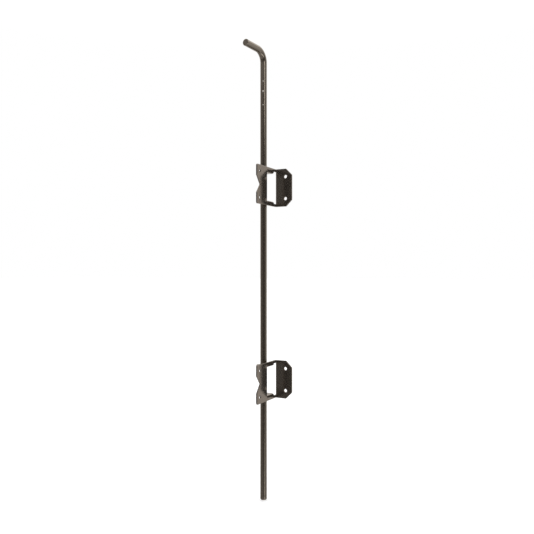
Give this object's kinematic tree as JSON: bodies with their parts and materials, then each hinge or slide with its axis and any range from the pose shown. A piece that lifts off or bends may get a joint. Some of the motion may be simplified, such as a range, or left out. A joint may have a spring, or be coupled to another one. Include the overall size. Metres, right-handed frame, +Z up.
{
  "type": "cane bolt",
  "caption": "Bent round bar that drops through two folded sheet brackets to pin a gate to the ground, with a handle at the top.",
  "frame": {"origin": "centre of the bar's bottom end face, with the bolt down", "axes": "+Z up along the bar; +X from the bar into the face of the gate; +Y along that face towards the gate's edge, where the plates wrap round"},
  "size_m": [0.0635, 0.0861, 0.8696],
  "materials": {
    "bar_coating": "satin dark bronze",
    "bracket_coating": "semi-gloss dark bronze"
  },
  "bodies": {
    "brackets": {"upper_bracket": "bracket_coating", "lower_bracket": "bracket_coating"},
    "bar": {"cane_rod": "bar_coating"}
  },
  "joints": [
    {"name": "bar_lift", "type": "slide", "parent": "brackets", "child": "bar", "axis": [0, 0, 1], "range_m": [-0.208, 0.195]}
  ]
}
